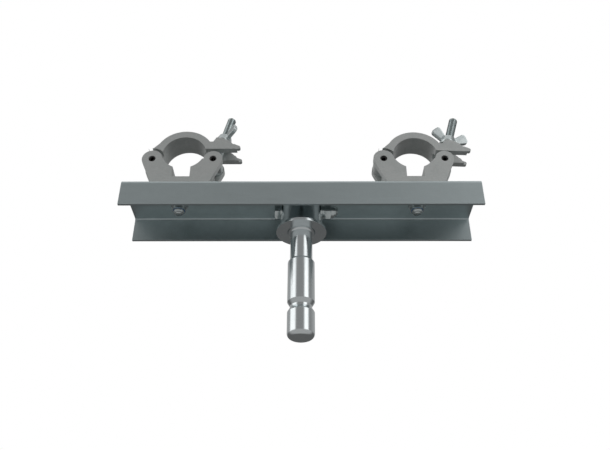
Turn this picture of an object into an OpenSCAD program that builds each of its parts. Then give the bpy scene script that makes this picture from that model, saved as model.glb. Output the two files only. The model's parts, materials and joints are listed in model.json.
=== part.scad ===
/* [Channel] */
// Length of the folded channel
channel_l = 383; // [330:1:480]
// Outside depth of the channel, front face to back face
channel_d = 75; // [62:1:110]
// Outside height of the front and back flanges
channel_h = 31.5; // [26:0.5:45]
// Thickness of the channel's sheet
sheet_t = 3; // [2:0.5:5]
// Inside radius of the two folds
fold_r = 2; // [1:0.5:5]

/* [Spigot] */
// Diameter of the spigot where a fitting slides on
spigot_d = 28; // [25:0.5:34]
// Length of the spigot below its shoulder
spigot_l = 85; // [70:1:120]
// Distance from the shoulder to the locking groove
groove_start = 46; // [38:1:56]
// Length of the locking groove along the spigot
groove_l = 11; // [9:0.5:14]
// Diameter at the bottom of the groove
groove_d = 22.6; // [18:0.2:24.6]
// Length of the flat bottom of the groove
groove_floor_l = 2.4; // [1:0.2:4]
// Diameter of the neck above the shoulder
neck_d = 23.4; // [19:0.2:24.4]
// Length of the neck, from the disc to the shoulder
neck_l = 37; // [30:1:50]
// Height of the chamfer at the shoulder
shoulder_h = 2.4; // [1:0.2:4]
// Height of the chamfer round the free end
end_chamfer_h = 5.2; // [2:0.2:6]
// Width of the chamfer round the free end
end_chamfer_w = 5; // [2:0.2:6]

/* [Sleeve] */
// Outside diameter of the sleeve that holds the spigot
sleeve_d = 45; // [42:1:52]
// Height of the sleeve, from the disc to the web
sleeve_h = 38; // [34:1:55]
// Diameter of the disc at the foot of the sleeve
disc_d = 54; // [53:1:60]
// Thickness of the disc
disc_t = 3; // [2:0.5:5]
// Gap all round between the spigot and the sleeve
sleeve_gap = 0.1; // [0.05:0.05:0.3]
// Chamfer at the mouth of the sleeve
mouth_chamfer = 1.2; // [0.6:0.2:2]
// Distance from the web down to the cross bolt
cross_drop = 13; // [11:0.5:17]
// Depth of the flats that the cross bolt's washers seat on
flat_depth = 1.7; // [1:0.1:2.5]

/* [Couplers] */
// Place of the left coupler along the channel
left_x = -134.5; // [-150:0.5:-105]
// Place of the right coupler along the channel
right_x = 127; // [105:0.5:150]
// Width of a coupler along the tube
coupler_w = 29; // [27:0.5:40]
// Distance between the hinge pin and the swing bolt's pin
pin_spacing = 68.8; // [66:0.2:74]
// Height of both pins above the web
pin_h = 46.4; // [43:0.2:54]
// Diameter of the tube that the jaw is made for
tube_d = 50; // [46:0.5:51]
// Height of the tube's centre above the web
tube_h = 58; // [56:0.5:62]
// Width of the saddle where it stands on the web
base_w = 52; // [44:1:60]
// Radius of the ears at the hinge
hinge_ear_r = 11.6; // [10.6:0.1:12]
// Radius of the ears at the swing bolt
swing_ear_r = 10.6; // [9.8:0.1:10.9]
// Width of the gaps between the ears
ear_gap_w = 14.4; // [13:0.2:16]
// Height of the floor of the gaps between the ears
ear_gap_floor = 25; // [22:0.5:30]
// Width of the slot in the bottom of the saddle
saddle_slot_w = 20; // [18:0.5:24]
// Height of the floor of the saddle's slot
saddle_slot_floor = 21.5; // [20.5:0.5:24]
// Thickness of the saddle under the mounting bolt's head
saddle_seat_t = 13; // [10:0.5:13.5]

/* [Caps] */
// Thickness of the cap over the tube
cap_wall = 8.5; // [7:0.5:10]
// Turn of the cap from its level place up to where it holds the tube
cap_lift = 9.4; // [8:0.2:11]
// Turn of the cap from its level place down to where its jaw is shut
cap_shut = 2.5; // [1.5:0.1:2.5]
// Radius cleared round the hinge ears at the cap's foot
cap_foot_r = 14.7; // [13.5:0.1:15.4]
// Radius of the cap's knuckle between the ears
knuckle_r = 11; // [9:0.2:11.2]
// Height of the lug's underside above the pins, with the cap level
lug_h = 14; // [13.6:0.1:14.6]
// Length of the lug's fork past the swing bolt's pin
fork_l = 30.1; // [28:0.1:31]
// Radius of the seat for the nut on top of the fork
seat_r = 28; // [27:0.1:28.4]
// Distance that the fork's lip may stand above the seat in the washer's way
path_rise = 0.6; // [0.4:0.1:0.7]
// Gap at the sides of the washer as it passes the fork's lips
path_gap = 0.4; // [0.2:0.1:0.8]
// Width of the fork's slot
fork_gap_w = 14; // [12:0.2:16]
// Turn of the left cap from level, as the coupler is stored
left_cap_turn = 0; // [0:0.1:1]
// Turn of the right cap from level, as the coupler is stored
right_cap_turn = -2.5; // [-2.5:0.1:-1.5]

/* [Swing bolts] */
// Diameter of the swing bolt
swing_d = 9.84; // [8:0.02:11]
// Length of the swing bolt from its pin to its end
swing_l = 71; // [68:0.5:80]
// Diameter of the swing bolt's eye
eye_d = 19; // [16:0.5:20]
// Lean of the left swing bolt out from upright
left_lean = 13.5; // [12:0.5:15]
// Lean of the right swing bolt out from upright
right_lean = 16; // [15:0.5:17]
// Distance that the left wing nut is backed off the seat
left_nut_gap = 0.4; // [0.4:0.1:3]
// Distance that the right wing nut is backed off the seat
right_nut_gap = 1; // [1:0.1:4]
// Thickness of the washers under the wing nuts
nut_washer_t = 1.2; // [1:0.1:2.5]
// Turn of the left wing nut on its bolt
left_nut_turn = 128; // [0:1:180]
// Turn of the right wing nut on its bolt
right_nut_turn = 8; // [0:1:180]
// Span across the tips of the wings
wing_span = 43; // [40:0.5:46]
// Height of the wings above the nut's base
wing_h = 22; // [20:0.5:24]
// Thickness of the wings
wing_t = 4.6; // [3.5:0.1:5.5]
// Height of the wing nut's hub
hub_h = 12; // [10:0.5:13]
// Diameter of the wing nut's base
hub_base_d = 20; // [18:0.5:20]
// Diameter of the wing nut's top
hub_top_d = 14.5; // [13:0.5:16]

/* [Pins] */
// Diameter of the spring pins
pin_d = 8; // [6:0.5:8]
// Bore of the spring pins
pin_bore_d = 5; // [3:0.5:5]
// Distance that the pins' ends lie below the ears' faces
pin_recess = 1.5; // [0.5:0.1:3]
// Width of the slit along a spring pin
pin_slit = 0.8; // [0.4:0.1:1.2]

/* [Fasteners] */
// Diameter of the mounting bolts and the cross bolt
bolt_d = 9.8; // [8:0.1:10.4]
// Width across flats of their heads and nuts
bolt_af = 17; // [15:0.5:17]
// Height of their heads
head_h = 6.4; // [5:0.1:7]
// Height of a lock nut with its collar
nut_h = 10; // [8:0.5:11]
// Height of a lock nut's hexagon
nut_hex_h = 7; // [5:0.5:7.5]
// Outside diameter of the nylon ring in a lock nut
ring_d = 13.2; // [11.5:0.1:13.6]
// Height of the nylon ring
ring_h = 2.4; // [1.5:0.1:2.6]
// Outside diameter of a washer
washer_d = 20; // [18:0.5:21]
// Thickness of a washer
washer_t = 2; // [1.5:0.1:2.4]
// Thickness of the spring washer
spring_washer_t = 2.5; // [2:0.1:3]
// Length of bolt that stands out of a lock nut
bolt_end = 4; // [2:0.5:6]
// Outside diameter of the washer on the spigot's stud
top_washer_d = 24; // [20:0.5:30]
// Gap all round a bolt in the hole that it passes through
hole_gap = 0.4; // [0.3:0.1:0.8]
// Gap all round a turning pin in its bore
running_gap = 0.06; // [0.04:0.01:0.1]
// Gap all round the thread in a nut's bore
thread_gap = 0.08; // [0.05:0.01:0.1]

/* [Hidden] */
$fn = 64;

// Heights above the spigot's shoulder, which is the origin
disc_z = neck_l;
web_under_z = disc_z + disc_t + sleeve_h;
web_z = web_under_z + sheet_t;
cross_z = web_under_z - cross_drop;

// Cutting tools run past the faces that they open by this much
over = 1;
neck_fillet_r = (spigot_d - neck_d) / 2;
hub_edge_h = 2.5;
eye_side_gap = 0.4;
bolt_chamfer = 1;
seat_left_a = 4.7;
seat_right_a = 49;
tip_r = 2.2;
lip_l = 1.5;
lip_drop = 0.3;
lip_notch = 0.8;
foot_edge_h = 0.2;
boss_foot_h = 24.6;
boss_foot_x = 1.4;
flank_x = 10.5;
flank_h = 26.4;

// A cap's shape is drawn with the hinge pin at its origin and the lug level
half_spacing = pin_spacing / 2;
tube_reach = norm([half_spacing, tube_h - pin_h]);
tube_turn = atan2(tube_h - pin_h, half_spacing);
cap_centre = polar(tube_reach, tube_turn - cap_lift);
seat_centre = polar(pin_spacing, cap_shut);

function polar(r, a) = [r * cos(a), r * sin(a)];

// Point where a line from p touches the circle of radius r round c, on the side given
function touch(p, c, r, side) =
  c + polar(r, atan2(p.y - c.y, p.x - c.x) + side * acos(r / norm(c - p)));

// Distance from the swing bolt's pin up to the crown of the seat, along the leaning bolt
function seat_height(turn, lean) =
  seat_r + (polar(pin_spacing, turn + cap_shut) - [pin_spacing, 0]) * [sin(lean), cos(lean)];

// Puts a shape drawn in x and y upright, with its thickness centred on the channel
module upright(width) {
  rotate([90, 0, 0])
    linear_extrude(width, center = true)
      children();
}

module at_coupler(x) {
  translate([x, 0, web_z])
    children();
}

module at_hinge_pin() {
  translate([-half_spacing, 0, pin_h])
    children();
}

module at_swing_pin(lean = 0) {
  translate([half_spacing, 0, pin_h])
    rotate([0, lean, 0])
      children();
}

module along_y(length, d) {
  rotate([90, 0, 0])
    cylinder(h = length, d = d, center = true);
}

module hexagon(af, h) {
  cylinder(h = h, d = af / cos(30), $fn = 6);
}

// Hexagon with its corners turned off at the top
module hex_head(af, h) {
  intersection() {
    hexagon(af, h);
    rotate_extrude()
      polygon([
        [0, 0],
        [af, 0],
        [af, h - (af - af * 0.475) * tan(30)],
        [af * 0.475, h],
        [0, h]
      ]);
  }
}

// Plain shank that points down from the origin, with a chamfered end
module shank(d, length) {
  rotate_extrude()
    polygon([
      [0, 0],
      [d / 2, 0],
      [d / 2, bolt_chamfer - length],
      [d / 2 - bolt_chamfer, -length],
      [0, -length]
    ]);
}

module hex_bolt(d, af, h, length) {
  hex_head(af, h);
  shank(d, length);
}

module washer(bore, thickness, d = washer_d) {
  difference() {
    cylinder(h = thickness, d = d);
    translate([0, 0, -over])
      cylinder(h = thickness + 2 * over, d = bore);
  }
}

// Lock nut that points down from the origin, with its collar at the bottom
module lock_nut() {
  mirror([0, 0, 1])
    difference() {
      union() {
        hex_head(bolt_af, nut_hex_h);
        cylinder(h = nut_h, d = bolt_af - 2);
      }
      translate([0, 0, -over])
        cylinder(h = nut_h + 2 * over, d = bolt_d + 2 * thread_gap);
      translate([0, 0, nut_h - ring_h])
        cylinder(h = ring_h + over, d = ring_d);
    }
}

module lock_nut_ring() {
  translate([0, 0, -nut_h])
    difference() {
      cylinder(h = ring_h, d = ring_d);
      translate([0, 0, -over])
        cylinder(h = ring_h + 2 * over, d = bolt_d + 2 * thread_gap);
    }
}

module spring_pin() {
  length = coupler_w - 2 * pin_recess;
  difference() {
    along_y(length, pin_d);
    along_y(length + 2 * over, pin_bore_d);
    translate([-pin_slit / 2, -length / 2 - over, 0])
      cube([pin_slit, length + 2 * over, pin_d]);
  }
}

// Quarter of the channel's fold, drawn from the inside corner outwards
module fold_outline() {
  intersection() {
    difference() {
      circle(fold_r + sheet_t);
      circle(fold_r);
    }
    square(fold_r + sheet_t);
  }
}

module channel_outline() {
  outer_r = fold_r + sheet_t;
  translate([-channel_d / 2 + outer_r, -sheet_t])
    square([channel_d - 2 * outer_r, sheet_t]);
  for (side = [0, 1])
    mirror([side, 0])
      translate([channel_d / 2 - outer_r, -outer_r]) {
        fold_outline();
        translate([fold_r, outer_r - channel_h])
          square([sheet_t, channel_h - outer_r]);
      }
}

module channel() {
  color("lightgray")
    difference() {
      translate([-channel_l / 2, 0, web_z])
        rotate([90, 0, 90])
          linear_extrude(channel_l)
            channel_outline();
      for (x = [left_x, right_x])
        translate([x, 0, web_under_z - over])
          cylinder(h = sheet_t + 2 * over, d = bolt_d + 2 * hole_gap);
      translate([0, 0, web_under_z - over])
        cylinder(h = sheet_t + 2 * over, d = bolt_d + 2 * hole_gap);
    }
}

module sleeve() {
  bore_r = spigot_d / 2 + sleeve_gap;
  flat_x = sleeve_d / 2 - flat_depth;
  color("silver")
    difference() {
      rotate_extrude()
        polygon([
          [bore_r + mouth_chamfer, disc_z],
          [disc_d / 2, disc_z],
          [disc_d / 2, disc_z + disc_t],
          [sleeve_d / 2, disc_z + disc_t],
          [sleeve_d / 2, web_under_z],
          [bore_r, web_under_z],
          [bore_r, disc_z + mouth_chamfer]
        ]);
      translate([0, 0, cross_z])
        rotate([0, 90, 0]) {
          cylinder(h = sleeve_d, d = bolt_d + 2 * hole_gap, center = true);
          for (side = [0, 1])
            mirror([0, 0, side])
              translate([0, 0, flat_x])
                cylinder(h = sleeve_d, d = washer_d + over);
        }
    }
}

module spigot() {
  r = spigot_d / 2;
  neck_r = neck_d / 2;
  stud_r = bolt_d / 2;
  stud_top_z = web_z + washer_t + nut_h + bolt_end;
  slope_l = (groove_l - groove_floor_l) / 2;
  color("silver")
    difference() {
      union() {
        rotate_extrude()
          polygon([
            [0, -spigot_l],
            [r - end_chamfer_w, -spigot_l],
            [r, -spigot_l + end_chamfer_h],
            [r, -groove_start - groove_l],
            [groove_d / 2, -groove_start - groove_l + slope_l],
            [groove_d / 2, -groove_start - slope_l],
            [r, -groove_start],
            [r, 0],
            [neck_r, shoulder_h],
            [neck_r, disc_z],
            [r, disc_z],
            [r, web_under_z],
            [stud_r, web_under_z],
            [stud_r, stud_top_z - bolt_chamfer],
            [stud_r - bolt_chamfer, stud_top_z],
            [0, stud_top_z]
          ]);
        neck_fillet();
      }
      translate([0, 0, cross_z])
        rotate([0, 90, 0])
          cylinder(h = sleeve_d, d = bolt_d + 2 * hole_gap, center = true);
    }
}

// Hollow curve that runs the neck out to the full diameter at the disc
module neck_fillet() {
  translate([0, 0, disc_z - neck_fillet_r])
    rotate_extrude()
      difference() {
        translate([neck_d / 2 - over, 0])
          square([neck_fillet_r + over, neck_fillet_r]);
        translate([neck_d / 2 + neck_fillet_r, 0])
          circle(neck_fillet_r);
      }
}

module stud_washer() {
  color("gainsboro")
    translate([0, 0, web_z])
      washer(bolt_d + 2 * hole_gap, washer_t, top_washer_d);
}

// Stands the pieces of a lock nut on the stud's washer
module on_stud() {
  translate([0, 0, web_z + washer_t])
    mirror([0, 0, 1])
      children();
}

module stud_nut() {
  color("gainsboro")
    on_stud()
      lock_nut();
}

module stud_nut_ring() {
  color("dimgray")
    on_stud()
      lock_nut_ring();
}

// Turns the pieces of the cross bolt so that down becomes right
module across() {
  translate([0, 0, cross_z])
    rotate([0, -90, 0])
      children();
}

flat_x = sleeve_d / 2 - flat_depth;
cross_head_x = flat_x + washer_t;
cross_nut_x = cross_head_x + spring_washer_t;

module cross_bolt() {
  color("gainsboro")
    across()
      translate([0, 0, cross_head_x])
        hex_bolt(bolt_d, bolt_af, head_h, cross_head_x + cross_nut_x + nut_h + bolt_end);
}

module cross_washers() {
  color("gainsboro")
    across() {
      translate([0, 0, flat_x])
        washer(bolt_d + 2 * hole_gap, washer_t);
      translate([0, 0, -cross_head_x])
        washer(bolt_d + 2 * hole_gap, washer_t);
    }
}

module cross_spring_washer() {
  color("gainsboro")
    across()
      translate([0, 0, -cross_nut_x])
        difference() {
          cylinder(h = spring_washer_t, d = bolt_af);
          translate([0, 0, -over])
            cylinder(h = spring_washer_t + 2 * over, d = bolt_d + 2 * hole_gap);
          translate([0, -pin_slit / 2, -over])
            cube([bolt_af, pin_slit, spring_washer_t + 2 * over]);
        }
}

module cross_nut() {
  color("gainsboro")
    across()
      translate([0, 0, -cross_nut_x])
        lock_nut();
}

module cross_nut_ring() {
  color("dimgray")
    across()
      translate([0, 0, -cross_nut_x])
        lock_nut_ring();
}

module saddle_outline() {
  hinge = [-half_spacing, pin_h];
  swing = [half_spacing, pin_h];
  foot = base_w / 2;
  difference() {
    union() {
      translate(hinge)
        circle(hinge_ear_r);
      translate(swing)
        circle(swing_ear_r);
      polygon([
        [-foot, 0],
        [foot, 0],
        touch([foot, 0], swing, swing_ear_r, 1),
        swing,
        hinge,
        touch([-foot, 0], hinge, hinge_ear_r, -1)
      ]);
    }
    translate([0, tube_h])
      circle(d = tube_d, $fn = 96);
    translate([-saddle_slot_w / 2, saddle_slot_floor])
      square([saddle_slot_w, tube_h]);
  }
}

// Space between the front and back ears, open upwards and outwards from the pin
module ear_gap_outline() {
  clear_r = hinge_ear_r + 1.4;
  circle(clear_r);
  translate([0, ear_gap_floor - pin_h])
    square([base_w, tube_h]);
  translate([-clear_r, 0])
    square([base_w, tube_h]);
}

module saddle() {
  color("darkgray")
    difference() {
      upright(coupler_w)
        saddle_outline();
      for (side = [0, 1])
        mirror([side, 0, 0])
          translate([half_spacing, 0, pin_h]) {
            upright(ear_gap_w)
              ear_gap_outline();
            along_y(coupler_w + 2 * over, pin_d);
          }
      translate([0, 0, -over])
        cylinder(h = saddle_slot_floor + 2 * over, d = bolt_d + 2 * hole_gap);
      translate([0, 0, saddle_seat_t])
        rotate(30)
          hexagon(bolt_af + 2 * hole_gap, saddle_slot_floor);
    }
}

module tube_cut() {
  translate(cap_centre)
    circle(d = tube_d, $fn = 96);
}

// Slab between the hinge and the curve over the tube
module cap_root_outline() {
  polygon([
    [0, 0],
    [-knuckle_r / 2, cap_foot_r - over],
    [0, cap_foot_r + foot_edge_h],
    [flank_x, flank_h],
    cap_centre + [0, tube_d / 2],
    cap_centre
  ]);
}

module cap_arch_outline() {
  intersection() {
    translate(cap_centre)
      circle(d = tube_d + 2 * cap_wall, $fn = 96);
    translate([0, lug_h])
      square(2 * pin_spacing);
  }
}

// Lug with the round seat for the nut and the raised lip at its tip
module lug_outline() {
  boss_x = seat_centre.x + seat_r * sin(seat_left_a);
  boss_h = seat_centre.y + seat_r * cos(seat_left_a);
  lip = seat_centre + seat_r * [sin(seat_right_a), cos(seat_right_a)];
  tip = [pin_spacing + fork_l - tip_r, lug_h + tip_r];
  intersection() {
    polygon([
      [pin_spacing - swing_ear_r, lug_h],
      [lip.x + 1, lug_h],
      [lip.x + 1, boss_h + seat_r],
      [boss_x, boss_h + seat_r],
      [boss_x, boss_h],
      [seat_centre.x - boss_foot_x, boss_foot_h],
      [pin_spacing - swing_ear_r, boss_foot_h]
    ]);
    translate(seat_centre)
      circle(seat_r, $fn = 96);
  }
  translate(tip)
    circle(tip_r);
  polygon([
    [lip.x - 3, lug_h],
    [tip.x, lug_h],
    tip + polar(tip_r, 64),
    [lip.x + lip_l, lip.y - lip_drop],
    [lip.x, lip.y - lip_notch],
    [lip.x - 3, lip.y - 2]
  ]);
}

// Way that the nut's washer takes round the pin, past the tip of the lug
module washer_path() {
  translate([seat_centre.x, 0, seat_centre.y])
    upright(washer_d + 2 * path_gap)
      difference() {
        translate([seat_r / 2, -seat_r])
          square(2 * seat_r);
        circle(seat_r + path_rise, $fn = 96);
      }
}

module cap_body_outline() {
  difference() {
    union() {
      cap_root_outline();
      cap_arch_outline();
      lug_outline();
    }
    tube_cut();
    circle(cap_foot_r);
  }
}

module knuckle_outline() {
  difference() {
    union() {
      circle(knuckle_r);
      cap_root_outline();
    }
    tube_cut();
  }
}

module cap(turn) {
  knuckle_w = ear_gap_w - 2 * eye_side_gap;
  slot_x = pin_spacing - swing_d / 2;
  color("darkgray")
    at_hinge_pin()
      rotate([0, -turn, 0])
        difference() {
          union() {
            upright(coupler_w)
              cap_body_outline();
            upright(knuckle_w)
              knuckle_outline();
          }
          along_y(coupler_w + 2 * over, pin_d + 2 * running_gap);
          washer_path();
          translate([slot_x, 0, 0]) {
            cylinder(h = tube_d, d = fork_gap_w);
            translate([0, -fork_gap_w / 2, 0])
              cube([tube_d, fork_gap_w, tube_d]);
          }
        }
}

module hinge_pin() {
  color("dimgray")
    at_hinge_pin()
      spring_pin();
}

module swing_pin() {
  color("dimgray")
    at_swing_pin()
      spring_pin();
}

module swing_bolt(lean) {
  eye_w = ear_gap_w - 2 * eye_side_gap;
  color("gainsboro")
    at_swing_pin(lean)
      difference() {
        union() {
          along_y(eye_w, eye_d);
          mirror([0, 0, 1])
            shank(swing_d, swing_l);
        }
        along_y(ear_gap_w + 2 * over, pin_d + 2 * running_gap);
      }
}

module nut_washer(height, lean) {
  color("gainsboro")
    at_swing_pin(lean)
      translate([0, 0, height])
        washer(swing_d + 2 * running_gap, nut_washer_t);
}

module wing_outline() {
  tip = wing_span / 2;
  root = hub_top_d / 2 - 3;
  hull() {
    translate([root, hub_h / 2])
      circle(3);
    translate([tip - 4, wing_h * 0.62])
      circle(4);
    translate([tip - 6.5, wing_h - 3])
      circle(3);
  }
}

module wing_nut(height, lean, turn) {
  color("gainsboro")
    at_swing_pin(lean)
      translate([0, 0, height + nut_washer_t])
        rotate(turn)
          difference() {
            union() {
              rotate_extrude()
                polygon([
                  [0, 0],
                  [hub_base_d / 2, 0],
                  [hub_base_d / 2, hub_edge_h],
                  [hub_top_d / 2, hub_h - 1],
                  [hub_top_d / 2 - 1, hub_h],
                  [0, hub_h]
                ]);
              for (side = [0, 180])
                rotate(side)
                  upright(wing_t)
                    wing_outline();
            }
            translate([0, 0, -over])
              cylinder(h = wing_h + 2 * over, d = swing_d + 2 * thread_gap);
          }
}

module mount_bolt() {
  length = saddle_seat_t + sheet_t + washer_t + nut_h + bolt_end;
  color("gainsboro")
    translate([0, 0, saddle_seat_t])
      rotate(30)
        hex_bolt(bolt_d, bolt_af, head_h, length);
}

module mount_washer() {
  color("gainsboro")
    translate([0, 0, -sheet_t - washer_t])
      washer(bolt_d + 2 * hole_gap, washer_t);
}

module mount_nut() {
  color("gainsboro")
    translate([0, 0, -sheet_t - washer_t])
      lock_nut();
}

module mount_nut_ring() {
  color("dimgray")
    translate([0, 0, -sheet_t - washer_t])
      lock_nut_ring();
}

left_nut_h = seat_height(left_cap_turn, left_lean) + left_nut_gap;
right_nut_h = seat_height(right_cap_turn, right_lean) + right_nut_gap;

channel();
sleeve();
spigot();
stud_washer();
stud_nut();
stud_nut_ring();
cross_bolt();
cross_washers();
cross_spring_washer();
cross_nut();
cross_nut_ring();
at_coupler(left_x) saddle();  // left_saddle
at_coupler(left_x) cap(left_cap_turn);  // left_cap
at_coupler(left_x) hinge_pin();  // left_hinge_pin
at_coupler(left_x) swing_pin();  // left_swing_pin
at_coupler(left_x) swing_bolt(left_lean);  // left_swing_bolt
at_coupler(left_x) nut_washer(left_nut_h, left_lean);  // left_nut_washer
at_coupler(left_x) wing_nut(left_nut_h, left_lean, left_nut_turn);  // left_wing_nut
at_coupler(left_x) mount_bolt();  // left_mount_bolt
at_coupler(left_x) mount_washer();  // left_mount_washer
at_coupler(left_x) mount_nut();  // left_mount_nut
at_coupler(left_x) mount_nut_ring();  // left_mount_nut_ring
at_coupler(right_x) saddle();  // right_saddle
at_coupler(right_x) cap(right_cap_turn);  // right_cap
at_coupler(right_x) hinge_pin();  // right_hinge_pin
at_coupler(right_x) swing_pin();  // right_swing_pin
at_coupler(right_x) swing_bolt(right_lean);  // right_swing_bolt
at_coupler(right_x) nut_washer(right_nut_h, right_lean);  // right_nut_washer
at_coupler(right_x) wing_nut(right_nut_h, right_lean, right_nut_turn);  // right_wing_nut
at_coupler(right_x) mount_bolt();  // right_mount_bolt
at_coupler(right_x) mount_washer();  // right_mount_washer
at_coupler(right_x) mount_nut();  // right_mount_nut
at_coupler(right_x) mount_nut_ring();  // right_mount_nut_ring
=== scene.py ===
import json
import math

import bpy
from mathutils import Matrix, Vector


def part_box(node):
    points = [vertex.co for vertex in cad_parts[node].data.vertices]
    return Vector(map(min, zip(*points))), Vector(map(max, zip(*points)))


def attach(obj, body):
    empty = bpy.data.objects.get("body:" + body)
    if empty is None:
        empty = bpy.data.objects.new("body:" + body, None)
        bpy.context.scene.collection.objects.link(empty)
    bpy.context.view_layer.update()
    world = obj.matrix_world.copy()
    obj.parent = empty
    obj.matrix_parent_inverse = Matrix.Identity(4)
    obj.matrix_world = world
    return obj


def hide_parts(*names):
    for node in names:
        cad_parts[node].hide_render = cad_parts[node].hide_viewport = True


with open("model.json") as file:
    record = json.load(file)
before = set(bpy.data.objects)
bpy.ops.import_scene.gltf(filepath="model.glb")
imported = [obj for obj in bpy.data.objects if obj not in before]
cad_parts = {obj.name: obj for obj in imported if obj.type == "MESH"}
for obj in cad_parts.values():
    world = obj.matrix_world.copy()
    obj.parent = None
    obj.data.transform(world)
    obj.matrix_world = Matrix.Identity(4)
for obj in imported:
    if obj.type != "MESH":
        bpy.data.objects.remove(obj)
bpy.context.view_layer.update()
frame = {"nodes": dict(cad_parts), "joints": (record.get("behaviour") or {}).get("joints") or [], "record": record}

mm = 0.001
mergeGap = 0.002 * mm
nodes = frame["nodes"]


# small helpers that stand for the usual clicks

def pickOnly(*objects):
    bpy.ops.object.select_all(action="DESELECT")
    for obj in objects:
        obj.select_set(True)
    bpy.context.view_layer.objects.active = objects[0]


def useModifier(obj, kind, **settings):
    pickOnly(obj)
    modifier = obj.modifiers.new(kind.lower(), kind)
    for key, value in settings.items():
        setattr(modifier, key, value)
    bpy.ops.object.modifier_apply(modifier=modifier.name)


def copyOf(node, name):
    obj = bpy.data.objects.new(name, nodes[node].data.copy())
    bpy.context.scene.collection.objects.link(obj)
    pickOnly(obj)
    bpy.ops.object.mode_set(mode="EDIT")
    bpy.ops.mesh.select_all(action="SELECT")
    bpy.ops.mesh.remove_doubles(threshold=mergeGap)
    bpy.ops.mesh.dissolve_limited(angle_limit=math.radians(0.2))
    bpy.ops.object.mode_set(mode="OBJECT")
    return obj


def cutOff(obj, place, direction):
    # what lies past the place is cut away and the cut is closed
    pickOnly(obj)
    bpy.ops.object.mode_set(mode="EDIT")
    bpy.ops.mesh.select_all(action="SELECT")
    bpy.ops.mesh.bisect(plane_co=place, plane_no=direction, use_fill=True, clear_outer=True)
    bpy.ops.object.mode_set(mode="OBJECT")


def softEdges(obj, width, segments=2, angle=30):
    useModifier(obj, "BEVEL", width=width, segments=segments, limit_method="ANGLE",
                angle_limit=math.radians(angle), use_clamp_overlap=True)
    smooth(obj)
    weighNormals(obj)


def smooth(obj, angle=40):
    pickOnly(obj)
    bpy.ops.object.shade_smooth_by_angle(angle=math.radians(angle))


def weighNormals(obj):
    useModifier(obj, "WEIGHTED_NORMAL", keep_sharp=True, weight=60)


def joinUp(name, *objects):
    pickOnly(*objects)
    bpy.ops.object.join()
    objects[0].name = name
    return objects[0]


def outline(name, points):
    # a chain of edges in the XZ plane, drawn by extruding one point
    bpy.ops.object.select_all(action="DESELECT")
    bpy.ops.mesh.primitive_plane_add(size=mm, location=(0, 0, 0))
    obj = bpy.context.object
    obj.name = name
    bpy.ops.object.mode_set(mode="EDIT")
    bpy.ops.mesh.select_all(action="SELECT")
    bpy.ops.mesh.merge(type="CENTER")
    bpy.ops.transform.translate(value=(points[0][0], 0, points[0][1]))
    for before, after in zip(points, points[1:]):
        step = (after[0] - before[0], 0, after[1] - before[1])
        bpy.ops.mesh.extrude_region_move(TRANSFORM_OT_translate={"value": step})
    bpy.ops.object.mode_set(mode="OBJECT")
    return obj


def lathe(name, points, steps=128):
    obj = outline(name, points)
    bpy.ops.object.mode_set(mode="EDIT")
    bpy.ops.mesh.select_all(action="SELECT")
    bpy.ops.mesh.spin(steps=steps, angle=math.tau, center=(0, 0, 0), axis=(0, 0, 1))
    bpy.ops.mesh.select_all(action="SELECT")
    bpy.ops.mesh.remove_doubles(threshold=mergeGap)
    bpy.ops.mesh.normals_make_consistent(inside=False)
    bpy.ops.object.mode_set(mode="OBJECT")
    return obj


def placeAlong(obj, start, direction):
    # turns what was made up the Z axis along a direction, and moves it to its place
    turn = Vector((0, 0, 1)).rotation_difference(Vector(direction)).to_matrix().to_4x4()
    obj.matrix_world = Matrix.Translation(Vector(start)) @ turn
    pickOnly(obj)
    bpy.ops.object.transform_apply(location=True, rotation=True, scale=True)


threadForm = {"pitch": 1.5 * mm, "depth": 0.8 * mm, "steps": 36, "chamfer": 1.1 * mm,
              "crestEnd": 0.14, "rootStart": 0.44, "rootEnd": 0.7, "spareTurns": 3}


def threadedRod(name, start, direction, length, radius):
    pitch = threadForm["pitch"]
    root = radius - threadForm["depth"]
    rod = outline(name, [
        (radius, 0), (radius, pitch * threadForm["crestEnd"]), (root, pitch * threadForm["rootStart"]),
        (root, pitch * threadForm["rootEnd"]), (radius, pitch)])
    turns = math.ceil(length / pitch) + threadForm["spareTurns"]
    useModifier(rod, "SCREW", angle=math.tau, screw_offset=pitch, iterations=turns,
                steps=threadForm["steps"], render_steps=threadForm["steps"],
                use_merge_vertices=True, merge_threshold=mergeGap)
    rod.location.z = -threadForm["spareTurns"] / 2 * pitch
    pickOnly(rod)
    bpy.ops.object.transform_apply(location=True)
    cutOff(rod, (0, 0, length), (0, 0, 1))
    cutOff(rod, (0, 0, 0), (0, 0, -1))
    bpy.ops.object.mode_set(mode="EDIT")
    bpy.ops.mesh.select_all(action="SELECT")
    bpy.ops.mesh.normals_make_consistent(inside=False)
    bpy.ops.object.mode_set(mode="OBJECT")
    chamfer = threadForm["chamfer"]
    shell = lathe("shell", [
        (0, -mm), (radius + mm, -mm), (radius + mm, length - chamfer - mm),
        (0, length + radius - chamfer)], steps=48)
    useModifier(rod, "BOOLEAN", operation="INTERSECT", object=shell, solver="EXACT")
    bpy.data.objects.remove(shell)
    smooth(rod, 35)
    placeAlong(rod, start, direction)
    return rod


def finishPiece(obj, material, body, slot, *replaced):
    obj.data.materials.clear()
    obj.data.materials.append(material)
    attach(obj, body)
    if replaced:
        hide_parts(*replaced)
    return obj


# shader groups: each gives colours, values and heights that change over the surface

def newGroup(name, inputs, outputs):
    group = bpy.data.node_groups.new(name, "ShaderNodeTree")
    for label, kind, value in inputs:
        socket = group.interface.new_socket(name=label, in_out="INPUT", socket_type=kind)
        if value is not None:
            socket.default_value = value
    for label, kind in outputs:
        group.interface.new_socket(name=label, in_out="OUTPUT", socket_type=kind)
    return group, group.nodes.new("NodeGroupInput"), group.nodes.new("NodeGroupOutput")


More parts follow.
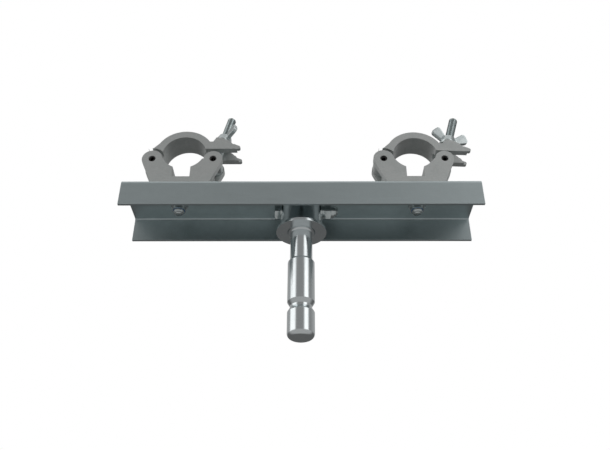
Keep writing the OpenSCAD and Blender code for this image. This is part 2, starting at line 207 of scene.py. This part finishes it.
def addNoise(tree, vector, scale, detail=4.0, roughness=0.55):
    noise = tree.nodes.new("ShaderNodeTexNoise")
    noise.inputs["Detail"].default_value = detail
    noise.inputs["Roughness"].default_value = roughness
    tree.links.new(vector, noise.inputs["Vector"])
    if isinstance(scale, (int, float)):
        noise.inputs["Scale"].default_value = scale
    else:
        tree.links.new(scale, noise.inputs["Scale"])
    return noise.outputs["Fac"]


def addMath(tree, operation, a, b=None, clamp=False):
    node = tree.nodes.new("ShaderNodeMath")
    node.operation = operation
    node.use_clamp = clamp
    for index, value in enumerate((a, b)):
        if value is None:
            continue
        if isinstance(value, (int, float)):
            node.inputs[index].default_value = value
        else:
            tree.links.new(value, node.inputs[index])
    return node.outputs[0]


def addRange(tree, value, low, high, newLow=0.0, newHigh=1.0):
    node = tree.nodes.new("ShaderNodeMapRange")
    node.interpolation_type = "SMOOTHSTEP"
    tree.links.new(value, node.inputs["Value"])
    labels = ("From Min", "From Max", "To Min", "To Max")
    for label, number in zip(labels, (low, high, newLow, newHigh)):
        if isinstance(number, (int, float)):
            node.inputs[label].default_value = number
        else:
            tree.links.new(number, node.inputs[label])
    return node.outputs["Result"]


def addMix(tree, factor, a, b):
    node = tree.nodes.new("ShaderNodeMix")
    node.data_type = "RGBA"
    for socket, value in ((node.inputs[0], factor), (node.inputs[6], a), (node.inputs[7], b)):
        if isinstance(value, (int, float, tuple)):
            socket.default_value = value
        else:
            tree.links.new(value, socket)
    return node.outputs[2]


cloudForm = {"fineScale": 9.0, "broadShare": 0.65, "fineShare": 0.35,
             "toneEdges": (0.36, 0.64), "polishEdges": (0.34, 0.66)}


def makeClouding():
    # slow changes of tone and polish, as on plated or rolled metal
    group, given, result = newGroup("clouding", [
        ("Vector", "NodeSocketVector", None), ("Color", "NodeSocketColor", (0.5, 0.5, 0.5, 1)),
        ("Shade", "NodeSocketColor", (0.4, 0.4, 0.4, 1)), ("Scale", "NodeSocketFloat", 60.0),
        ("Polished", "NodeSocketFloat", 0.3), ("Dull", "NodeSocketFloat", 0.5)],
        [("Color", "NodeSocketColor"), ("Roughness", "NodeSocketFloat")])
    broad = addNoise(group, given.outputs["Vector"], given.outputs["Scale"], 3.0)
    fineScale = addMath(group, "MULTIPLY", given.outputs["Scale"], cloudForm["fineScale"])
    fine = addNoise(group, given.outputs["Vector"], fineScale, 6.0, 0.65)
    broad = addMath(group, "MULTIPLY", broad, cloudForm["broadShare"])
    fine = addMath(group, "MULTIPLY", fine, cloudForm["fineShare"])
    both = addMath(group, "ADD", broad, fine)
    mask = addRange(group, both, *cloudForm["toneEdges"])
    color = addMix(group, mask, given.outputs["Color"], given.outputs["Shade"])
    rough = addRange(group, both, *cloudForm["polishEdges"], given.outputs["Polished"], given.outputs["Dull"])
    group.links.new(color, result.inputs["Color"])
    group.links.new(rough, result.inputs["Roughness"])
    return group


def makeGrain():
    # long lines in one direction, from rolling, drawing or brushing
    group, given, result = newGroup("grain", [
        ("Vector", "NodeSocketVector", None), ("Stretch", "NodeSocketVector", (1.0, 1.0, 1.0)),
        ("Scale", "NodeSocketFloat", 900.0)],
        [("Height", "NodeSocketFloat"), ("Mask", "NodeSocketFloat")])
    stretched = group.nodes.new("ShaderNodeVectorMath")
    stretched.operation = "MULTIPLY"
    group.links.new(given.outputs["Vector"], stretched.inputs[0])
    group.links.new(given.outputs["Stretch"], stretched.inputs[1])
    lines = addNoise(group, stretched.outputs[0], given.outputs["Scale"], 5.0, 0.7)
    group.links.new(lines, result.inputs["Height"])
    group.links.new(addRange(group, lines, 0.35, 0.65), result.inputs["Mask"])
    return group


scuffForm = {"turns": (0.5, 2.1, 3.9), "stretch": (1.0, 14.0, 3.0), "halfWidth": 0.006,
             "patchScale": 23.0, "patchEdges": (0.56, 0.66), "heightShare": 0.6}


def makeScuffs():
    # a few thin scratches that cross each other, and small dents
    group, given, result = newGroup("scuffs", [
        ("Vector", "NodeSocketVector", None), ("Scale", "NodeSocketFloat", 40.0),
        ("Amount", "NodeSocketFloat", 0.5)],
        [("Mask", "NodeSocketFloat"), ("Height", "NodeSocketFloat")])
    total = None
    for turn in scuffForm["turns"]:
        mapping = group.nodes.new("ShaderNodeMapping")
        mapping.inputs["Rotation"].default_value = (turn, turn * 0.7, turn * 1.3)
        mapping.inputs["Scale"].default_value = scuffForm["stretch"]
        group.links.new(given.outputs["Vector"], mapping.inputs["Vector"])
        streak = addNoise(group, mapping.outputs["Vector"], given.outputs["Scale"], 2.0)
        gap = addMath(group, "ABSOLUTE", addMath(group, "SUBTRACT", streak, 0.5))
        line = addRange(group, gap, 0.0, scuffForm["halfWidth"], 1.0, 0.0)
        patch = addNoise(group, mapping.outputs["Vector"], scuffForm["patchScale"], 1.0)
        patch = addRange(group, patch, *scuffForm["patchEdges"])
        line = addMath(group, "MULTIPLY", line, patch)
        total = line if total is None else addMath(group, "MAXIMUM", total, line)
    total = addMath(group, "MULTIPLY", total, given.outputs["Amount"])
    group.links.new(total, result.inputs["Mask"])
    group.links.new(addMath(group, "MULTIPLY", total, -1.0), result.inputs["Height"])
    return group


groups = {"clouding": makeClouding(), "grain": makeGrain(), "scuffs": makeScuffs()}


def addGroup(tree, name, vector, **values):
    node = tree.nodes.new("ShaderNodeGroup")
    node.node_tree = groups[name]
    tree.links.new(vector, node.inputs["Vector"])
    for label, value in values.items():
        node.inputs[label.capitalize()].default_value = value
    return node


def newMaterial(name, metallic):
    material = bpy.data.materials.new(name)
    material.use_nodes = True
    tree = material.node_tree
    shader = tree.nodes["Principled BSDF"]
    shader.inputs["Metallic"].default_value = metallic
    shader.inputs["IOR"].default_value = 1.5
    coords = tree.nodes.new("ShaderNodeTexCoord")
    return material, tree, shader, coords.outputs["Object"]


def addBump(tree, shader, height, strength, distance):
    bump = tree.nodes.new("ShaderNodeBump")
    bump.inputs["Strength"].default_value = strength
    bump.inputs["Distance"].default_value = distance
    tree.links.new(height, bump.inputs["Height"])
    tree.links.new(bump.outputs["Normal"], shader.inputs["Normal"])


def makeMetal(name, look):
    material, tree, shader, place = newMaterial(name, look["metallic"])
    cloud = addGroup(tree, "clouding", place, color=(*look["color"], 1), shade=(*look["shade"], 1),
                     scale=look["cloudScale"], polished=look["polished"], dull=look["dull"])
    grain = addGroup(tree, "grain", place, stretch=look["stretch"], scale=look["grainScale"])
    scuffs = addGroup(tree, "scuffs", place, scale=look["scuffScale"], amount=look["scuffs"])
    color = addMix(tree, scuffs.outputs["Mask"], cloud.outputs["Color"], (*look["scratchColor"], 1))
    lines = addMath(tree, "SUBTRACT", grain.outputs["Mask"], 0.5)
    lines = addMath(tree, "MULTIPLY", lines, look["grainRough"])
    rough = addMath(tree, "ADD", cloud.outputs["Roughness"], lines, clamp=True)
    height = addMath(tree, "MULTIPLY", scuffs.outputs["Height"], scuffForm["heightShare"])
    height = addMath(tree, "ADD", grain.outputs["Height"], height)
    tree.links.new(color, shader.inputs["Base Color"])
    tree.links.new(rough, shader.inputs["Roughness"])
    addBump(tree, shader, height, look["bump"], look["bumpDepth"])
    return material


looks = {
    "sheetSteel": {
        "metallic": 1.0, "color": (0.53, 0.60, 0.61), "shade": (0.49, 0.555, 0.565), "cloudScale": 14.0,
        "polished": 0.36, "dull": 0.46, "stretch": (0.03, 1.0, 1.0), "grainScale": 1500.0, "grainRough": 0.08,
        "scuffScale": 30.0, "scuffs": 0.35, "scratchColor": (0.62, 0.64, 0.65),
        "bump": 0.10, "bumpDepth": 0.02 * mm},
    "chromePlate": {
        "metallic": 1.0, "color": (0.76, 0.80, 0.81), "shade": (0.71, 0.755, 0.765), "cloudScale": 30.0,
        "polished": 0.15, "dull": 0.23, "stretch": (1.0, 1.0, 0.3), "grainScale": 1400.0, "grainRough": 0.03,
        "scuffScale": 60.0, "scuffs": 0.25, "scratchColor": (0.7, 0.72, 0.73),
        "bump": 0.05, "bumpDepth": 0.01 * mm},
    "tumbledAluminium": {
        "metallic": 0.75, "color": (0.66, 0.68, 0.67), "shade": (0.57, 0.595, 0.585), "cloudScale": 45.0,
        "polished": 0.40, "dull": 0.54, "stretch": (1.0, 0.04, 1.0), "grainScale": 1300.0, "grainRough": 0.14,
        "scuffScale": 45.0, "scuffs": 0.5, "scratchColor": (0.74, 0.73, 0.71),
        "bump": 0.22, "bumpDepth": 0.03 * mm},
    "zincPlate": {
        "metallic": 1.0, "color": (0.62, 0.67, 0.67), "shade": (0.50, 0.55, 0.555), "cloudScale": 140.0,
        "polished": 0.12, "dull": 0.26, "stretch": (1.0, 1.0, 1.0), "grainScale": 1800.0, "grainRough": 0.08,
        "scuffScale": 90.0, "scuffs": 0.4, "scratchColor": (0.5, 0.5, 0.5),
        "bump": 0.08, "bumpDepth": 0.02 * mm},
    "darkSpring": {
        "metallic": 0.9, "color": (0.055, 0.056, 0.06), "shade": (0.10, 0.095, 0.09), "cloudScale": 160.0,
        "polished": 0.32, "dull": 0.55, "stretch": (1.0, 0.1, 1.0), "grainScale": 1500.0, "grainRough": 0.1,
        "scuffScale": 90.0, "scuffs": 0.3, "scratchColor": (0.3, 0.3, 0.3),
        "bump": 0.2, "bumpDepth": 0.02 * mm},
    "nylon": {
        "metallic": 0.0, "color": (0.10, 0.22, 0.42), "shade": (0.07, 0.17, 0.34), "cloudScale": 120.0,
        "polished": 0.38, "dull": 0.5, "stretch": (1.0, 1.0, 1.0), "grainScale": 1200.0, "grainRough": 0.05,
        "scuffScale": 90.0, "scuffs": 0.1, "scratchColor": (0.3, 0.4, 0.6),
        "bump": 0.1, "bumpDepth": 0.02 * mm},
}
finish = {name: makeMetal(name, look) for name, look in looks.items()}
slotFinish = {"channel": "sheetSteel", "chrome": "chromePlate", "coupler": "tumbledAluminium",
              "zinc": "zincPlate", "pin": "darkSpring", "nylon": "nylon"}
print("materials ready")


# every CAD node gets its finish, and a copy with softened edges stands for it

bodyOf = {node: body for body, held in frame["record"]["behaviour"]["bodies"].items() for node in held}
slotOf = {part["node"]: part["material_slot"] for part in frame["record"]["subparts"]}
edgeWidth = {"channel": 0.35, "chrome": 0.3, "coupler": 0.55, "zinc": 0.2, "pin": 0.2, "nylon": 0.15}


def pieceName(node):
    first, *rest = node.split("_")
    return first + "".join(word.capitalize() for word in rest) + "Finished"


def standFor(node, obj):
    slot = slotOf[node]
    return finishPiece(obj, finish[slotFinish[slot]], bodyOf[node], slot, node)


def softenNode(node):
    obj = copyOf(node, pieceName(node))
    softEdges(obj, edgeWidth[slotOf[node]] * mm)
    return standFor(node, obj)


for node in nodes:
    material = finish[slotFinish[slotOf[node]]]
    nodes[node].data.materials.clear()
    nodes[node].data.materials.append(material)


# spigot: turned again with fine steps, because its chrome shows every facet

spigotTurned = {
    "radius": 14.0, "neck": 11.7, "grooveStart": 46.0, "grooveLength": 11.0,
    "grooveRadius": 11.3, "grooveFloor": 2.4, "shoulder": 2.4, "endHeight": 5.2, "endWidth": 5.0,
    "studRadius": 4.9, "studThread": 8.0, "soft": 0.4, "steps": 160, "curveSteps": 8, "smoothAngle": 28}


def makeSpigot():
    s = {key: value * mm for key, value in spigotTurned.items()}
    low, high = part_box("spigot")
    top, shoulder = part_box("sleeve")[0].z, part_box("sleeve")[1].z  # undersides of the disc and of the web
    threadStart = high.z - s["studThread"]
    fillet = s["radius"] - s["neck"]
    slope = (s["grooveLength"] - s["grooveFloor"]) / 2
    grooveEnd = -s["grooveStart"] - s["grooveLength"]
    curve = spigotTurned["curveSteps"]
    points = [(0, low.z)]
    points.append((s["radius"] - s["endWidth"] - s["soft"], low.z))
    for step in range(1, curve):  # rounded free end
        turn = step / curve * math.pi / 2
        points.append((s["radius"] - s["endWidth"] * (1 - math.sin(turn)),
                       low.z + s["endHeight"] * (1 - math.cos(turn))))
    points += [
        (s["radius"], low.z + s["endHeight"]),
        (s["radius"], grooveEnd - s["soft"]), (s["radius"] - s["soft"] / 2, grooveEnd),
        (s["grooveRadius"], grooveEnd + slope), (s["grooveRadius"], -s["grooveStart"] - slope),
        (s["radius"] - s["soft"] / 2, -s["grooveStart"]), (s["radius"], -s["grooveStart"] + s["soft"]),
        (s["radius"], -s["soft"]), (s["radius"] - s["soft"] / 3, 0),
        (s["neck"] + s["soft"] / 3, s["shoulder"]), (s["neck"], s["shoulder"] + s["soft"])]
    for step in range(curve + 1):  # hollow curve up to the disc
        turn = step / curve * math.pi / 2
        points.append((s["radius"] - fillet * math.cos(turn), top - fillet + fillet * math.sin(turn)))
    points += [(s["radius"], shoulder), (s["studRadius"], shoulder),
               (s["studRadius"], threadStart), (0, threadStart)]
    obj = lathe("spigotTurned", points, spigotTurned["steps"])
    smooth(obj, spigotTurned["smoothAngle"])
    weighNormals(obj)
    rod = threadedRod("rod", (0, 0, threadStart), (0, 0, 1), s["studThread"], s["studRadius"])
    return standFor("spigot", joinUp("spigotTurned", obj, rod))


makeSpigot()
print("spigot ready")


# bolts: real threads where they show

boltThreads = {
    "left_swing_bolt": {"joint": "left_bolt_swing", "start": 25.0, "radius": 4.92, "end": 71.0,
        "eyeEdge": 0.8},
    "right_swing_bolt": {"joint": "right_bolt_swing", "start": 25.0, "radius": 4.92, "end": 71.0,
        "eyeEdge": 0.8},
}
slideOf = {"left_swing_bolt": "left_washer_slide", "right_swing_bolt": "right_washer_slide"}
jointOf = {joint["name"]: joint for joint in frame["joints"]}


def makeSwingBolt(node):
    sizes = boltThreads[node]
    pivot = Vector(jointOf[sizes["joint"]]["pos_m"])
    direction = Vector(jointOf[slideOf[node]]["axis"]).normalized()
    start = pivot + direction * sizes["start"] * mm
    obj = copyOf(node, pieceName(node))
    cutOff(obj, start, direction)
    softEdges(obj, sizes["eyeEdge"] * mm, 3)
    rod = threadedRod("rod", start, direction, (sizes["end"] - sizes["start"]) * mm, sizes["radius"] * mm)
    return standFor(node, joinUp(pieceName(node), obj, rod))


boltEnd = {"shown": 8.0, "radius": 4.9}


def makeThreadedBolt(node, direction):
    # the end that stands out of the nut is cut off and given its thread
    low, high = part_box(node)
    centre = (low + high) / 2
    direction = Vector(direction)
    end = high if direction.dot(Vector((1, 1, 1))) > 0 else low
    tip = centre + direction * (end - centre).dot(direction)
    start = tip - direction * boltEnd["shown"] * mm
    obj = copyOf(node, pieceName(node))
    cutOff(obj, start, direction)
    softEdges(obj, edgeWidth["zinc"] * mm)
    rod = threadedRod("rod", start, direction, boltEnd["shown"] * mm, boltEnd["radius"] * mm)
    return standFor(node, joinUp(pieceName(node), obj, rod))


for node in boltThreads:
    makeSwingBolt(node)
makeThreadedBolt("cross_bolt", (1, 0, 0))
makeThreadedBolt("left_mount_bolt", (0, 0, -1))
makeThreadedBolt("right_mount_bolt", (0, 0, -1))
print("bolts ready")


# wing nuts: forged, so their edges and the roots of their wings are round

wingNut = {"voxel": 0.4, "passes": 9, "strength": 0.5, "smoothAngle": 60}


def makeWingNut(node):
    obj = copyOf(node, pieceName(node))
    useModifier(obj, "REMESH", mode="VOXEL", voxel_size=wingNut["voxel"] * mm, use_smooth_shade=True)
    useModifier(obj, "SMOOTH", factor=wingNut["strength"], iterations=wingNut["passes"])
    smooth(obj, wingNut["smoothAngle"])
    return standFor(node, obj)


makeWingNut("left_wing_nut")
makeWingNut("right_wing_nut")
print("wing nuts ready")


for node in ["channel", "sleeve", "left_saddle", "left_cap", "right_saddle", "right_cap",
             "left_hinge_pin", "left_swing_pin", "right_hinge_pin", "right_swing_pin",
             "stud_washer", "stud_nut", "stud_nut_ring", "cross_washers", "cross_spring_washer", "cross_nut",
             "left_nut_washer", "right_nut_washer", "left_mount_washer", "right_mount_washer",
             "left_mount_nut", "right_mount_nut", "cross_nut_ring", "left_mount_nut_ring",
             "right_mount_nut_ring"]:
    softenNode(node)
print("edges softened")


# studio

studio = {"floorHeight": -0.47, "floorSize": 6.0, "floorColor": (0.92, 0.92, 0.91, 1), "floorRough": 0.8}
bpy.ops.object.select_all(action="DESELECT")
bpy.ops.mesh.primitive_plane_add(size=studio["floorSize"], location=(0, 0, studio["floorHeight"]))
floor = bpy.context.object
floor.name = "studioFloor"
floorFinish, _, floorShader, _ = newMaterial("paleFloor", 0.0)
floorShader.inputs["Base Color"].default_value = studio["floorColor"]
floorShader.inputs["Roughness"].default_value = studio["floorRough"]
floor.data.materials.append(floorFinish)
floor.visible_glossy = False
floor.visible_diffuse = False

cameraFit = {"place": (7.54, -636.2, -359.8), "tilt": 122.62, "turn": 0.33, "roll": 0.12, "lens": 41.15}
bpy.ops.object.camera_add()
camera = bpy.context.object
camera.matrix_world = (
    Matrix.Translation(Vector(cameraFit["place"]) * mm)
    @ Matrix.Rotation(math.radians(cameraFit["turn"]), 4, "Z")
    @ Matrix.Rotation(math.radians(cameraFit["tilt"]), 4, "X")
    @ Matrix.Rotation(math.radians(cameraFit["roll"]), 4, "Z"))
camera.data.lens = cameraFit["lens"]
camera.data.clip_start = 0.01
bpy.context.scene.camera = camera

# light all round, as from soft boxes: each lobe has its two angles from the front and its level
surround = {
    "front": 0.26, "back": 0.40, "above": 0.70, "frontBelow": 0.40, "backBelow": 0.12, "backdrop": 1.0,
    "lobes": {"left": (-97, -45, 1.25), "right": (29, 64, 1.35)}, "lobeEdge": 9,
    "turnBack": (-0.2, 0.7), "turnBackBelow": (-0.1, 0.5), "horizon": (-0.05, 0.3), "zenith": (0.75, 0.97)}
world = bpy.data.worlds.new("studioWorld")
bpy.context.scene.world = world
world.use_nodes = True
tree = world.node_tree
background = tree.nodes["Background"]
direction = tree.nodes.new("ShaderNodeTexCoord").outputs["Generated"]
split = tree.nodes.new("ShaderNodeSeparateXYZ")
tree.links.new(direction, split.inputs[0])
forward = addMath(tree, "MULTIPLY", split.outputs["Y"], -1.0)
azimuth = addMath(tree, "ARCTAN2", split.outputs["X"], forward)


def grey(value):
    return (value, value, value, 1)


level = addMix(tree, addRange(tree, split.outputs["Y"], *surround["turnBack"]),
               grey(surround["front"]), grey(surround["back"]))
for start, end, strength in surround["lobes"].values():
    edge = surround["lobeEdge"]
    inside = addRange(tree, azimuth, math.radians(start - edge), math.radians(start + edge))
    outside = addRange(tree, azimuth, math.radians(end - edge), math.radians(end + edge), 1.0, 0.0)
    level = addMix(tree, addMath(tree, "MULTIPLY", inside, outside), level, grey(strength))
overhead = addRange(tree, split.outputs["Z"], *surround["zenith"])
level = addMix(tree, overhead, level, grey(surround["above"]))
below = addMix(tree, addRange(tree, split.outputs["Y"], *surround["turnBackBelow"]),
               grey(surround["frontBelow"]), grey(surround["backBelow"]))
level = addMix(tree, addRange(tree, split.outputs["Z"], *surround["horizon"]), below, level)
seen = tree.nodes.new("ShaderNodeLightPath").outputs["Is Camera Ray"]
level = addMix(tree, seen, level, grey(surround["backdrop"]))
tree.links.new(level, background.inputs["Color"])
bpy.context.scene.view_settings.view_transform = "Standard"
print("studio ready")
